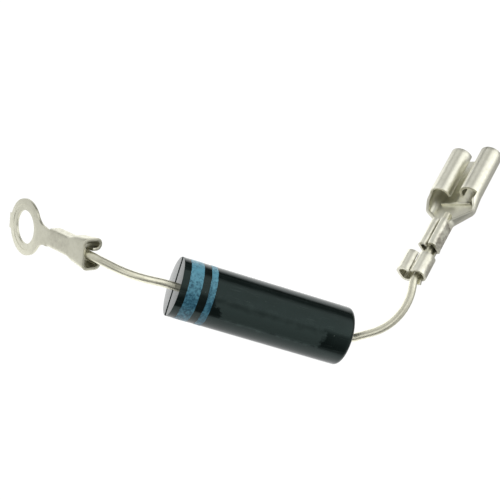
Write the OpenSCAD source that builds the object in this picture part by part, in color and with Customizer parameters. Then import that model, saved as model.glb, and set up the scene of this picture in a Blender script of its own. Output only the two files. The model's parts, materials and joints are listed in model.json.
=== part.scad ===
// High voltage diode with a ring terminal and a push-on receptacle on its leads.
// It lies on z = 0 as it comes to rest: on the tip of the ring, the edge of the body's
// anode end and the mouth of the receptacle. X runs from the cathode to the anode.

/* [Body] */
// Diameter of the moulded body
body_d = 7.3; // [6:0.1:10]
// Length of the moulded body
body_len = 22.2; // [18:0.2:30]
// Rounding of the edge at the anode end
body_edge_r = 0.6; // [0.2:0.1:1.2]

/* [Polarity bands] */
// Plain length between the cathode end and the wide band
band_inset = 0.95; // [0.3:0.05:2]
// Width of the wide band
wide_band_w = 1.6; // [0.8:0.1:2.5]
// Plain length between the two bands
band_gap = 0.95; // [0.4:0.05:2]
// Width of the narrow band
narrow_band_w = 0.8; // [0.4:0.1:1.5]
// Depth of the printed ink, flush with the body
band_t = 0.05; // [0.03:0.01:0.1]

/* [Inside the body] */
// Diameter of the dice and of the lead heads
die_d = 2.2; // [1.6:0.1:2.8]
// Thickness of one silicon die
die_t = 0.3; // [0.2:0.05:0.5]
// Number of dice in series
die_count = 10; // [6:1:14]
// Thickness of one solder disc
solder_t = 0.1; // [0.05:0.05:0.2]
// Thickness of the head of a lead
head_t = 0.5; // [0.3:0.1:0.8]
// Wall of the soft coat round the stack
coat_wall = 0.9; // [0.5:0.1:1.5]

/* [Leads] */
// Diameter of the lead wire
lead_d = 1; // [0.8:0.05:1.2]

/* [Cathode lead] */
// Straight length out of the body
cathode_run_1 = 1.05; // [0.3:0.05:3]
// First bend radius, to the wire's middle
cathode_bend_r_1 = 6; // [2:0.5:12]
// First bend angle
cathode_bend_1 = 8; // [0:1:40]
// Straight length after the first bend
cathode_run_2 = 0.9; // [0.2:0.05:3]
// Second bend radius
cathode_bend_r_2 = 8; // [2:0.5:12]
// Second bend angle
cathode_bend_2 = 35; // [10:1:60]
// Straight length after the second bend
cathode_run_3 = 1.1; // [0.2:0.05:3]
// Third bend radius
cathode_bend_r_3 = 4; // [2:0.5:8]
// Third bend angle
cathode_bend_3 = 36; // [10:1:60]

/* [Anode lead] */
// Straight length out of the body
anode_run_1 = 0.25; // [0.2:0.05:2]
// First bend radius
anode_bend_r_1 = 1.8; // [1.5:0.1:4]
// First bend angle
anode_bend_1 = 39; // [10:1:60]
// Straight length after the first bend
anode_run_2 = 2; // [0.5:0.1:4]
// Second bend radius
anode_bend_r_2 = 7; // [3:0.5:12]
// Second bend angle
anode_bend_2 = 67; // [30:1:90]
// Straight length after the second bend
anode_run_3 = 0.3; // [0.2:0.05:2]
// Third bend radius
anode_bend_r_3 = 1.6; // [1.5:0.1:4]
// Third bend angle
anode_bend_3 = 32; // [10:1:50]

/* [Crimps] */
// Thickness of the terminals' sheet
sheet_t = 0.35; // [0.3:0.05:0.5]
// Width of the crimp on the wire
crimp_w = 2.4; // [2.1:0.05:3]
// Height of the crimp on the wire
crimp_h = 2.15; // [2.1:0.05:2.6]
// Length of the crimp on the wire
crimp_len = 4.7; // [3:0.1:6]
// Width of the seam between the two folded wings
seam_w = 0.08; // [0.04:0.01:0.15]

/* [Ring terminal] */
// Diameter of the screw hole
eye_hole_d = 4.3; // [3.2:0.1:5.3]
// Outer diameter of the ring
eye_d = 7.2; // [6.6:0.1:9]
// Diameter of the coined land round the hole
eye_land_d = 5.8; // [5.5:0.1:6.4]
// Depth of the coined land
eye_land_depth = 0.05; // [0.02:0.01:0.1]
// Width of the neck
neck_w = 2.3; // [1.6:0.1:2.4]
// Radius of the hollow on each side of the neck
neck_r = 2.2; // [1:0.1:3]
// Hole centre to the front of the wire crimp
eye_reach = 5.6; // [5:0.1:9]
// Width of the cut-off tab at the tip
tip_tab_w = 2; // [1:0.1:3]
// How far the cut-off tab stands out
tip_tab_out = 0.25; // [0.1:0.05:0.5]
// Length of the wire that stands out in front of the crimp
eye_stub_len = 0.4; // [0.2:0.1:1]
// Gap between the wire crimp and the grip
eye_grip_gap = 0.4; // [0.2:0.1:1]
// Length of the grip
eye_grip_len = 3; // [2:0.1:4]
// Width of the grip beside the wire crimp
eye_grip_w = 3.2; // [3:0.1:4.2]
// Height of the grip
eye_grip_h = 2.6; // [2.4:0.1:3.4]
// Outward flare of each wing towards the open end
eye_grip_flare = 7; // [0:1:12]
// Inside radius of the grip's lower folds
eye_grip_fold_r = 0.4; // [0.3:0.05:0.6]

/* [Receptacle] */
// Outer width over the two rolls
roll_span = 7.4; // [7.2:0.1:8]
// Outer radius of each roll
roll_r = 1.45; // [1.4:0.05:1.6]
// Length of the rolls
roll_len = 7.2; // [6:0.1:9]
// Thickness of the tab that it takes
tab_t = 0.8; // [0.5:0.1:0.8]
// Rolls to the front of the wire crimp
funnel_len = 4.1; // [3.8:0.1:6]
// Height of the funnel's side walls
funnel_wall_h = 1.3; // [1:0.1:1.8]
// Outer radius of the folded edge along the funnel
funnel_corner_r = 0.9; // [0.7:0.05:1]
// Radius, in plan, of the two turns of the funnel's side
funnel_turn_r = 1.3; // [1.2:0.1:1.7]
// Angle that the funnel's side turns in by
funnel_turn = 62; // [45:1:65]
// Height of the stop step across the floor
stop_h = 0.35; // [0.2:0.05:0.6]
// Thickness of the stop step
stop_t = 0.3; // [0.2:0.05:0.4]
// Gap between the rolls and the stop step
stop_gap = 0.5; // [0:0.05:0.5]
// Length of the wire that stands out in front of the crimp
stub_len = 1.2; // [0.3:0.1:2]
// Gap between the wire crimp and the grip
tab_grip_gap = 1.5; // [0.3:0.1:2]
// Length of the grip
tab_grip_len = 3; // [2:0.1:4]
// Flat floor under the open wing, from the middle
open_wing_floor = 1.4; // [1:0.05:1.6]
// Inside radius of the open wing's lower fold
open_wing_fold_r = 0.5; // [0.4:0.05:0.8]
// Straight side of the open wing
open_wing_side = 0.75; // [0.4:0.05:1.2]
// Inside radius of the open wing's curl
open_wing_curl_r = 0.65; // [0.5:0.05:0.9]
// Angle of the open wing's curl
open_wing_curl = 160; // [90:1:170]
// Flat floor under the closed wing, from the middle
closed_wing_floor = 0.45; // [0.3:0.05:0.8]
// Inside radius of the closed wing's lower fold
closed_wing_fold_r = 0.75; // [0.6:0.05:0.9]
// Straight side of the closed wing
closed_wing_side = 0.1; // [0.05:0.05:0.4]
// Inside radius of the closed wing's curl
closed_wing_curl_r = 0.7; // [0.6:0.05:0.9]
// Angle of the closed wing's curl
closed_wing_curl = 125; // [80:1:130]
// Length of the cut-off tail behind the grip
tail_len = 0.5; // [0.2:0.1:1]
// Angle that the tail is bent down by, clear of the wire
tail_drop = 20; // [20:1:40]

/* [Rest] */
// Fall of the body towards the anode end
body_tilt = 18.03; // [0:0.01:30]
// Roll of the body about its own axis, as it lies
body_roll = 4.98; // [-20:0.01:20]
// Middle of the whole plan from the middle of the body, along X
plan_x = -3.65; // [-10:0.05:10]
// Middle of the whole plan from the middle of the body, along Y
plan_y = 12.5; // [-10:0.05:20]
// Turn of the first cathode bend about the body's axis
cathode_turn_1 = -46; // [-180:1:180]
// Turn of the second cathode bend
cathode_turn_2 = -172; // [-180:1:180]
// Turn of the third cathode bend
cathode_turn_3 = 27; // [-180:1:180]
// Turn of the ring terminal on its lead
eye_turn = -117.5; // [-180:0.5:180]
// Turn of the first anode bend about the body's axis
anode_turn_1 = 137; // [-180:1:180]
// Turn of the second anode bend
anode_turn_2 = -42.5; // [-180:0.5:180]
// Turn of the third anode bend
anode_turn_3 = -122.5; // [-180:0.5:180]
// Turn of the receptacle on its lead
tab_turn = 88; // [-180:0.5:180]

/* [Hidden] */
$fn = 64;
eps = 0.01;
quarter = 90;
arc_steps = 5;

body_r = body_d / 2;
stack_len = die_count * die_t + (die_count + 1) * solder_t;
coat_len = stack_len + 2 * head_t;
coat_d = die_d + 2 * coat_wall;

// Each bend: straight length, radius, angle, turn about the wire
cathode_bends = [[cathode_run_1, cathode_bend_r_1, cathode_bend_1, cathode_turn_1],
                 [cathode_run_2, cathode_bend_r_2, cathode_bend_2, cathode_turn_2],
                 [cathode_run_3, cathode_bend_r_3, cathode_bend_3, cathode_turn_3]];
anode_bends = [[anode_run_1, anode_bend_r_1, anode_bend_1, anode_turn_1],
               [anode_run_2, anode_bend_r_2, anode_bend_2, anode_turn_2],
               [anode_run_3, anode_bend_r_3, anode_bend_3, anode_turn_3]];

// A bend draws the wire a hair thinner, so the straight lengths lap over its ends
bend_draw = 0.004;
bend_lap = 0.04;

// Height of the wire's middle over the underside of a terminal
wire_y = sheet_t + lead_d / 2;

// The two rounded tops of a wire crimp lie side by side
crimp_hump = crimp_w / 4;

// Stations along a terminal, from the open end of its grip
eye_crimp_z = eye_grip_len + eye_grip_gap;
eye_z = eye_crimp_z + crimp_len + eye_reach;
tab_crimp_z = tab_grip_len + tab_grip_gap;
funnel_z = tab_crimp_z + crimp_len;
roll_z = funnel_z + funnel_len;

// The funnel's side in plan, on its outer face: the drop between the rolls' side and the
// crimp's side leaves the slanted run, and the length leaves the straight run at the rolls
funnel_drop = (roll_span - crimp_w) / 2;
funnel_slant = (funnel_drop - 2 * funnel_turn_r * (1 - cos(funnel_turn))) / sin(funnel_turn);
funnel_lead = funnel_len - 2 * funnel_turn_r * sin(funnel_turn) - funnel_slant * cos(funnel_turn);
funnel_lap = 0.1;

// The body's lowest point is on the rounded edge of its anode end
rest_h = (body_len / 2 - body_edge_r) * sin(body_tilt) + (body_r - body_edge_r) * cos(body_tilt) + body_edge_r;

// ---- placing ----

module resting()
    translate([-plan_x, -plan_y, rest_h]) rotate([0, body_tilt, 0]) rotate([body_roll, 0, 0]) children();

module at_cathode() translate([-body_len / 2, 0, 0]) rotate([0, -quarter, 0]) children();
module at_anode() translate([body_len / 2, 0, 0]) rotate([0, quarter, 0]) children();

module past_bend(b)
    translate([0, 0, b[0]]) rotate([0, 0, b[3]]) translate([b[1], 0, 0])
        rotate([0, b[2], 0]) translate([-b[1], 0, 0]) children();

module past_bends(bends, i = 0) {
    if (i < len(bends)) past_bend(bends[i]) past_bends(bends, i + 1) children();
    else children();
}

// ---- wire ----

module bent_wire(bends, i = 0) {
    if (i < len(bends)) {
        b = bends[i];
        translate([0, 0, -bend_lap]) cylinder(h = b[0] + 2 * bend_lap, d = lead_d);
        translate([0, 0, b[0]]) rotate([0, 0, b[3]]) translate([b[1], 0, 0])
            rotate([quarter, 0, 2 * quarter])
                rotate_extrude(angle = b[2]) translate([b[1], 0]) circle(d = lead_d - bend_draw);
        past_bend(b) bent_wire(bends, i + 1);
    }
}

// A lead from the face of the body: its head inside, its bends, its end in the terminal
module lead(bends, end_len) {
    buried = (body_len - stack_len) / 2;
    translate([0, 0, -buried]) cylinder(h = head_t, d = die_d);
    translate([0, 0, -buried]) cylinder(h = buried, d = lead_d);
    bent_wire(bends);
    past_bends(bends) translate([0, 0, -bend_lap]) cylinder(h = end_len + bend_lap, d = lead_d);
}

// ---- folded sheet ----

// A sheet folded along z: each step is a straight length, an inside radius and an angle
// (to the left if it is over 0)
module fold(steps, width, i = 0) {
    if (i < len(steps)) {
        run = steps[i][0];
        r = steps[i][1];
        a = steps[i][2];
        if (run > 0) cube([run, sheet_t, width]);
        translate([run, sheet_t + r, 0]) {
            if (a > 0) rotate([0, 0, -quarter])
                rotate_extrude(angle = a) translate([r, 0]) square([sheet_t, width]);
            rotate([0, 0, a]) translate([0, -sheet_t - r, 0]) fold(steps, width, i + 1);
        }
    }
}

module both_sides() {
    children();
    mirror([1, 0, 0]) children();
}

// The wire crimp: both wings rolled in and pressed solid round the wire
module crimp() {
    corner = sheet_t / 2;
    difference() {
        linear_extrude(crimp_len) {
            translate([-crimp_w / 2, corner]) square([crimp_w, crimp_h - crimp_hump - corner]);
            translate([-crimp_w / 2 + corner, 0]) square([crimp_w - 2 * corner, corner]);
            for (side = [-1, 1]) {
                translate([side * (crimp_w / 2 - corner), corner]) circle(corner);
                translate([side * crimp_hump, crimp_h - crimp_hump]) circle(crimp_hump);
            }
        }
        translate([0, wire_y, -eps]) cylinder(h = crimp_len + 2 * eps, d = lead_d);
        translate([-seam_w / 2, wire_y, -eps]) cube([seam_w, crimp_h, crimp_len + 2 * eps]);
    }
}

// ---- ring terminal ----

module grip_wing() {
    hump = (eye_grip_w - seam_w) / 4;
    fold([[eye_grip_w / 2 - eye_grip_fold_r - sheet_t, eye_grip_fold_r, quarter],
          [eye_grip_h - hump - eye_grip_fold_r - sheet_t, hump - sheet_t, 2 * quarter],
          [eye_grip_h - hump - sheet_t - lead_d, 0, 0]], eye_grip_len);
}

module eye_plan() {
    blend_x = neck_w / 2 + neck_r;
    blend_z = sqrt(pow(eye_d / 2 + neck_r, 2) - pow(blend_x, 2));
    circle(d = eye_d);
    translate([-tip_tab_w / 2, -eye_d / 2 - tip_tab_out]) square([tip_tab_w, eye_d / 2]);
    difference() {
        polygon([[0, 0], [blend_x, blend_z], [-blend_x, blend_z]]);
        for (side = [-1, 1]) translate([side * blend_x, blend_z]) circle(neck_r);
    }
    translate([-neck_w / 2, blend_z - eps]) square([neck_w, eye_reach - blend_z + sheet_t]);
}

module ring_terminal() color("gainsboro")
    resting() at_cathode() past_bends(cathode_bends) rotate([0, 0, eye_turn]) translate([0, -wire_y, 0]) {
        difference() {
            translate([0, 0, eye_z]) rotate([-quarter, 0, 0]) linear_extrude(sheet_t) eye_plan();
            translate([0, -eps, eye_z]) rotate([-quarter, 0, 0]) cylinder(h = sheet_t + 2 * eps, d = eye_hole_d);
            translate([0, -eps, eye_z]) rotate([-quarter, 0, 0])
                cylinder(h = eye_land_depth + eps, d = eye_land_d);
        }
        translate([0, 0, eye_crimp_z]) crimp();
        translate([-neck_w / 2, 0, 0]) cube([neck_w, sheet_t, eye_crimp_z + sheet_t]);
        both_sides() translate([0, 0, eye_grip_len]) rotate([0, -eye_grip_flare, 0])
            translate([0, 0, -eye_grip_len]) grip_wing();
    }

// ---- receptacle ----

module roll() {
    curl = 3 * quarter + asin((roll_r - sheet_t - tab_t) / roll_r);
    fold([[roll_span / 2 - roll_r, roll_r - sheet_t, curl]], roll_len);
}

// Section of the funnel's folded side: a rounded corner, a low wall and an edge of floor
module funnel_section() {
    translate([funnel_corner_r, funnel_corner_r]) intersection() {
        difference() {
            circle(funnel_corner_r);
            circle(funnel_corner_r - sheet_t);
        }
        translate([-funnel_corner_r, -funnel_corner_r]) square(funnel_corner_r);
    }
    translate([0, funnel_corner_r]) square([sheet_t, funnel_wall_h - funnel_corner_r]);
    translate([funnel_corner_r, 0]) square([2 * funnel_lap, sheet_t]);
}

module turned_in()
    translate([funnel_turn_r, 0, 0]) rotate([0, funnel_turn, 0]) translate([-funnel_turn_r, 0, 0]) children();

// The folded side from the rolls to the crimp: straight, turned in, slanted, turned back
module funnel_side()
    translate([roll_span / 2, 0, roll_z]) rotate([0, 2 * quarter, 0]) {
        linear_extrude(funnel_lead) funnel_section();
        translate([0, 0, funnel_lead]) {
            translate([funnel_turn_r, 0, 0]) rotate([quarter, 0, 2 * quarter])
                rotate_extrude(angle = funnel_turn)
                    translate([funnel_turn_r, 0]) mirror([1, 0]) funnel_section();
            turned_in() {
                linear_extrude(funnel_slant) funnel_section();
                translate([-funnel_turn_r, 0, funnel_slant]) rotate([-quarter, 0, 0])
                    rotate([0, 0, -funnel_turn]) rotate_extrude(angle = funnel_turn)
                        translate([funnel_turn_r, 0]) funnel_section();
            }
        }
    }

// Half of the funnel's floor in plan, out to the flat edge of the folded side
function funnel_floor(in = funnel_corner_r + funnel_lap) =
    let (r = funnel_turn_r,
         in_x = roll_span / 2 - r,
         in_z = roll_z - funnel_lead,
         out_x = crimp_w / 2 + r)
    concat([[roll_span / 2 - in, roll_z]],
           [for (i = [0 : arc_steps]) let (a = funnel_turn * i / arc_steps)
               [in_x + (r - in) * cos(a), in_z - (r - in) * sin(a)]],
           [for (i = [arc_steps : -1 : 0]) let (a = funnel_turn * i / arc_steps)
               [out_x - (r + in) * cos(a), funnel_z + (r + in) * sin(a)]]);

module funnel() {
    edge = funnel_floor();
    across = [for (i = [len(edge) - 1 : -1 : 0]) [-edge[i][0], edge[i][1]]];
    translate([0, sheet_t, 0]) rotate([quarter, 0, 0]) linear_extrude(sheet_t)
        polygon(concat(edge, across));
    both_sides() funnel_side();
    translate([roll_r - roll_span / 2, 0, roll_z - funnel_lap])
        cube([roll_span - 2 * roll_r, sheet_t, 2 * funnel_lap]);
    translate([roll_r - roll_span / 2, 0, roll_z - stop_gap - stop_t])
        cube([roll_span - 2 * roll_r, sheet_t + stop_h, stop_t]);
}

module closed_wing()
    fold([[closed_wing_floor, closed_wing_fold_r, quarter],
          [closed_wing_side, closed_wing_curl_r, closed_wing_curl]], tab_grip_len);

module open_wing()
    fold([[open_wing_floor, open_wing_fold_r, quarter],
          [open_wing_side, open_wing_curl_r, open_wing_curl]], tab_grip_len);

module receptacle_terminal() color("silver")
    resting() at_anode() past_bends(anode_bends) rotate([0, 0, tab_turn]) translate([0, -wire_y, 0]) {
        translate([0, 0, roll_z]) both_sides() roll();
        translate([0, 0, tab_crimp_z]) crimp();
        translate([-crimp_hump, 0, 0]) cube([2 * crimp_hump, sheet_t, tab_crimp_z + sheet_t]);
        translate([-crimp_hump, sheet_t, 0]) rotate([-tail_drop, 0, 0])
            translate([0, -sheet_t, -tail_len]) cube([2 * crimp_hump, sheet_t, tail_len]);
        funnel();
        open_wing();
        mirror([1, 0, 0]) closed_wing();
    }

// ---- leads ----

module cathode_lead() color("lightgray")
    resting() at_cathode() lead(cathode_bends, eye_crimp_z + crimp_len + eye_stub_len);

module anode_lead() color("lightgray")
    resting() at_anode() lead(anode_bends, tab_crimp_z + crimp_len + stub_len);

// ---- body and what it holds ----

module band_ring(start, width, d_in, d_out)
    at_cathode() translate([0, 0, -start - width]) difference() {
        cylinder(h = width, d = d_out);
        translate([0, 0, -eps]) cylinder(h = width + 2 * eps, d = d_in);
    }

module epoxy_body() color([0.13, 0.16, 0.16])
    resting() difference() {
        translate([-body_len / 2, 0, 0]) rotate([0, quarter, 0]) rotate_extrude() {
            square([body_r, body_len - body_edge_r]);
            square([body_r - body_edge_r, body_len]);
            translate([body_r - body_edge_r, body_len - body_edge_r]) circle(body_edge_r);
        }
        rotate([0, quarter, 0]) cylinder(h = coat_len, d = coat_d, center = true);
        rotate([0, quarter, 0]) cylinder(h = body_len + 2 * eps, d = lead_d, center = true);
        band_ring(band_inset, wide_band_w, body_d - 2 * band_t, body_d + 2 * band_t);
        band_ring(band_inset + wide_band_w + band_gap, narrow_band_w, body_d - 2 * band_t, body_d + 2 * band_t);
    }

module wide_blue_band() color("steelblue")
    resting() band_ring(band_inset, wide_band_w, body_d - 2 * band_t, body_d);

module narrow_blue_band() color("steelblue")
    resting() band_ring(band_inset + wide_band_w + band_gap, narrow_band_w, body_d - 2 * band_t, body_d);

module silicon_dice() color("slategray")
    resting() for (i = [0 : die_count - 1])
        translate([-stack_len / 2 + solder_t + i * (die_t + solder_t), 0, 0])
            rotate([0, quarter, 0]) cylinder(h = die_t, d = die_d);

module solder_discs() color("darkgray")
    resting() for (i = [0 : die_count])
        translate([-stack_len / 2 + i * (die_t + solder_t), 0, 0])
            rotate([0, quarter, 0]) cylinder(h = solder_t, d = die_d);

module junction_coat() color("ivory")
    resting() rotate([0, quarter, 0]) difference() {
        cylinder(h = coat_len, d = coat_d, center = true);
        cylinder(h = coat_len + 2 * eps, d = die_d, center = true);
    }

epoxy_body();
wide_blue_band();
narrow_blue_band();
silicon_dice();
solder_discs();
junction_coat();
cathode_lead();
anode_lead();
ring_terminal();
receptacle_terminal();
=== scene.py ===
# %% [markdown]
# # Dressing a high voltage diode
#
# The solids of this part are finished already: a moulded body, two bent leads, a ring
# terminal and a push-on receptacle. This lesson gives them their looks. The body and its ink
# are spun anew, both terminals are folded anew from sheet with rounded edges, and each finish
# is built from nodes: black epoxy, blue ink, tinned wire and tinned sheet.
#
# Blender measures in metres, and this part is 60 mm long, so the modelling below is done in
# millimetres and scaled down as its last step.

# %% Load the finished solids
import json
import math

import bmesh
import bpy
from mathutils import Matrix, Vector, noise
from mathutils.bvhtree import BVHTree

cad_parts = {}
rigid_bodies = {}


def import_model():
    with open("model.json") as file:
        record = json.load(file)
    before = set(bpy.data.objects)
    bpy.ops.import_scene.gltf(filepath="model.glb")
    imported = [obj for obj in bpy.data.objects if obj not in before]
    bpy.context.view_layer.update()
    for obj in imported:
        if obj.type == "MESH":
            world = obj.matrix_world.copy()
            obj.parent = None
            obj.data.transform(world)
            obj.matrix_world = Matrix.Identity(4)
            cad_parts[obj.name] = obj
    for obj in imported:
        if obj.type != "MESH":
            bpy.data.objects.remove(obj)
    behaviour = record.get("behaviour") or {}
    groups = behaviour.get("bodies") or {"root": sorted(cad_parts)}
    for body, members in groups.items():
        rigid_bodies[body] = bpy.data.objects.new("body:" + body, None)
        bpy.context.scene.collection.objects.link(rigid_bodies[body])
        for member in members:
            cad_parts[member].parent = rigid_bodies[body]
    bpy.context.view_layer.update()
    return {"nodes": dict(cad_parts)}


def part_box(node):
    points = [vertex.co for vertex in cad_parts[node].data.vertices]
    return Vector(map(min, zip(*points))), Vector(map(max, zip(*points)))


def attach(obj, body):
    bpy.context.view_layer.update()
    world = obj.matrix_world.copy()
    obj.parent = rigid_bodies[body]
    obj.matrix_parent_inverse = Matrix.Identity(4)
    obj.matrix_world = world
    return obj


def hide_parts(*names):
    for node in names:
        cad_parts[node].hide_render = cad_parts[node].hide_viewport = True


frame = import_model()
MM = 0.001
print("solids:", sorted(frame["nodes"]))

# %% [markdown]
# ## Where the body lies
#
# The body is a cylinder that lies tilted, so it needs an axis of its own. It can be typed in,
# or read from the solids. Reading is safer: the middle of a ring's box is the ring's middle,
# whatever way the ring is turned, so the two bands give two points of the axis, and the coat
# round the dice gives the body's middle. The body's diameter and length are its solid's.

# %% The body's own axes
BODY_D = 7.3
BODY_LEN = 22.2

def middle(node):
    low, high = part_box(node)
    return (low + high) / 2 / MM

along = (middle("narrow_blue_band") - middle("wide_blue_band")).normalized()
level = Vector((0, 0, 1)).cross(along).normalized()
over = along.cross(level)
in_body = Matrix((along, level, over)).transposed().to_4x4()
in_body.translation = middle("junction_coat")
print("axis:", [round(v, 4) for v in along])
print("middle in mm:", [round(v, 2) for v in in_body.translation])

# %% [markdown]
# ## One way to finish a mesh
#
# Every new piece ends in the same way: its points are put in place, scaled to metres, given
# smooth shading and tied to the part. A helper keeps that in one spot. An edge where the
# surface turns by more than 50 degrees stays crisp.

# %% Turning a bmesh into a finished piece
SHARP = math.radians(50)

def finish_piece(bm, name, place, nodes):
    bmesh.ops.transform(bm, matrix=place, verts=bm.verts)
    bmesh.ops.scale(bm, vec=(MM, MM, MM), verts=bm.verts)
    mesh = bpy.data.meshes.new(name)
    bm.to_mesh(mesh)
    bm.free()
    mesh.shade_smooth()
    mesh.set_sharp_from_angle(angle=SHARP)
    piece = bpy.data.objects.new(name, mesh)
    bpy.context.scene.collection.objects.link(piece)
    even = piece.modifiers.new("even shading", "WEIGHTED_NORMAL")
    even.keep_sharp = True
    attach(piece, "root")
    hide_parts(*nodes)
    print(name, "-", len(mesh.vertices), "points,", len(mesh.polygons), "faces")
    return piece

# %% [markdown]
# ## The moulded body
#
# The real body is epoxy that sets in a two-part mould. It could be a cylinder with bevels, but
# a profile that is spun round the axis puts each radius exactly where it belongs: almost sharp
# at the cathode end, rounded at the anode end. The bands are ink on top, so the body stays a
# hundredth of a millimetre under them.

# %% Helpers for spun shapes
AROUND = 160
CORNER_STEPS = 6
SPUN_MERGE = 1e-4

def turned(angle, axis):
    return Matrix.Rotation(math.radians(angle), 4, axis)

def spun_profile(points):
    bm = bmesh.new()
    line = [bm.verts.new((x, 0, r)) for x, r in points]
    edges = [bm.edges.new(pair) for pair in zip(line, line[1:])]
    bmesh.ops.spin(bm, geom=line + edges, cent=(0, 0, 0), axis=(1, 0, 0),
                   angle=math.tau, steps=AROUND, use_merge=True)
    bmesh.ops.remove_doubles(bm, verts=bm.verts, dist=SPUN_MERGE)
    bmesh.ops.recalc_face_normals(bm, faces=bm.faces)
    return bm

def corner(x, r, radius, start):
    turns = [math.radians(start - 90 * i / CORNER_STEPS) for i in range(CORNER_STEPS + 1)]
    return [(x + radius * math.cos(a), r + radius * math.sin(a)) for a in turns]

# %% Spin the body
INK_T = 0.01
CATHODE_EDGE_R = 0.06
ANODE_EDGE_R = 0.6
RINGS_AT = (-8, -4, 0, 4, 8)

half = BODY_LEN / 2
skin_r = BODY_D / 2 - INK_T
body_line = ([(-half, 0)]
             + corner(-half + CATHODE_EDGE_R, skin_r - CATHODE_EDGE_R, CATHODE_EDGE_R, 180)
             + [(x, skin_r) for x in RINGS_AT]
             + corner(half - ANODE_EDGE_R, skin_r - ANODE_EDGE_R, ANODE_EDGE_R, 90)
             + [(half, 0)])
body_mesh = spun_profile(body_line)
print("body:", len(body_line), "points of a profile, spun in", AROUND, "steps")

# %% [markdown]
# ## The marks of the mould
#
# Where the two halves of the mould meet, they leave a fine groove round the body, through the
# axis. The halves also close a little out of line, so each end has a small step along that
# groove. Both could be painted, but light only catches an edge that is there. Two cuts mark
# out the strip between the halves, an inset sinks it with sloping sides, and then the points
# of one half of each end are set back along the axis. The ink sleeves get the same groove.

# %% Groove and step
PARTING = 21.1
GROOVE_W = 0.12
GROOVE_DEEP = 0.05
GROOVE_SLOPE = 0.012
HALVES_SHIFT = 0.08
ON_PLANE = 1e-5
SLACK = 0.001

parting_out = turned(PARTING, "X") @ Vector((0, 0, 1))

def cut_groove(bm):
    for side in (1, -1):
        bmesh.ops.bisect_plane(bm, geom=bm.verts[:] + bm.edges[:] + bm.faces[:], dist=ON_PLANE,
                               plane_co=parting_out * side * GROOVE_W / 2, plane_no=parting_out)
    strip = [f for f in bm.faces
             if abs(f.calc_center_median().dot(parting_out)) < GROOVE_W / 2]
    bmesh.ops.inset_region(bm, faces=strip, thickness=GROOVE_SLOPE, depth=-GROOVE_DEEP,
                           use_even_offset=True, use_boundary=False)
    return len(strip)

def shift_halves(bm):
    reach = GROOVE_W / 2 - GROOVE_SLOPE / 2
    moved = 0
    for vert in bm.verts:
        across = vert.co.dot(parting_out)
        if vert.co.x < -half + CATHODE_EDGE_R + SLACK and across > -reach:
            vert.co.x += HALVES_SHIFT
            moved += 1
        elif vert.co.x > half - ANODE_EDGE_R - SLACK and across < reach:
            vert.co.x -= HALVES_SHIFT
            moved += 1
    return moved

print("faces in the groove:", cut_groove(body_mesh))
print("points set back at the ends:", shift_halves(body_mesh))
moulded_body = finish_piece(body_mesh, "moulded_body", in_body, ["epoxy_body"])

# %% [markdown]
# ## The two blue bands
#
# The bands are rolled on with ink, so their edges wander by a few hundredths of a millimetre.
# A straight cylinder would look like a label. Each band here is a thin sleeve whose rims are
# moved by smooth noise read round a circle, which closes on itself without a seam. Its rims
# turn down into the epoxy, so no gap shows under the ink.

# %% Ink sleeves with wandering edges
WIDE_BAND = (0.95, 1.6)
NARROW_BAND = (3.5, 0.8)
SLEEVE_ROWS = (0, 0.08, 0.92, 1)
TUCKED_IN = 0.02
WANDER = 0.05
WAVES = 0.9
RIMS_APART = 5
FINER = 3

def ink_band(name, start, width, node):
    first = -half + start
    rows = [first + width * share for share in SLEEVE_ROWS]
    tucked = skin_r - TUCKED_IN
    bm = spun_profile([(rows[0], tucked)] + [(x, BODY_D / 2) for x in rows]
                      + [(rows[-1], tucked)])
    for vert in bm.verts:
        side = 1 if vert.co.x > first + width / 2 else -1
        spot = Vector((0, vert.co.y, vert.co.z)) * WAVES
        spot += Vector((start + RIMS_APART * side, 0, 0))
        vert.co.x += WANDER * noise.noise(spot) + WANDER / 2 * noise.noise(spot * FINER)
    cut_groove(bm)
    return finish_piece(bm, name, in_body, [node])

wide_band = ink_band("wide_ink_band", *WIDE_BAND, "wide_blue_band")
narrow_band = ink_band("narrow_ink_band", *NARROW_BAND, "narrow_blue_band")

# %% [markdown]
# ## Where the terminals sit
#
# A terminal sits at the end of a bent wire. Its place could be copied as sixteen numbers, but
# it is easier to understand when the wire's bends are followed: straight on, a turn about the
# wire, a bend, and again. Each bend is a matrix, and the matrices multiplied along the wire
# give the frame at its end. In that frame z runs on along the wire, x across the sheet, and y
# from the sheet's outer face towards the wire. A bend is given as the straight length before
# it, its radius, its angle, and how far the wire is turned about itself first.

# %% Follow the bends of each wire
ROLLED = 4.98
SHEET = 0.35
WIRE_D = 1.0
WIRE_Y = SHEET + WIRE_D / 2
WIRE_TOP = SHEET + WIRE_D
CATHODE_BENDS = [(1.05, 6, 8, -46), (0.9, 8, 35, -172), (1.1, 4, 36, 27)]
ANODE_BENDS = [(0.25, 1.8, 39, 137), (2, 7, 67, -42.5), (0.3, 1.6, 32, -122.5)]
RING_TURN = -117.5
RECEPTACLE_TURN = 88

def past_bend(straight, radius, angle, turn):
    hub = Matrix.Translation((radius, 0, 0))
    bend = hub @ turned(angle, "Y") @ hub.inverted()
    return Matrix.Translation((0, 0, straight)) @ turned(turn, "Z") @ bend

def at_wire_end(side, bends, last_turn):
    place = in_body @ turned(ROLLED, "X")
    place = place @ Matrix.Translation((side * half, 0, 0)) @ turned(90 * side, "Y")
    for bend in bends:
        place = place @ past_bend(*bend)
    return place @ turned(last_turn, "Z") @ Matrix.Translation((0, -WIRE_Y, 0))

at_ring = at_wire_end(-1, CATHODE_BENDS, RING_TURN)
at_receptacle = at_wire_end(1, ANODE_BENDS, RECEPTACLE_TURN)
print("ring terminal starts at", [round(v, 2) for v in at_ring.translation])
print("receptacle starts at", [round(v, 2) for v in at_receptacle.translation])

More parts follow.
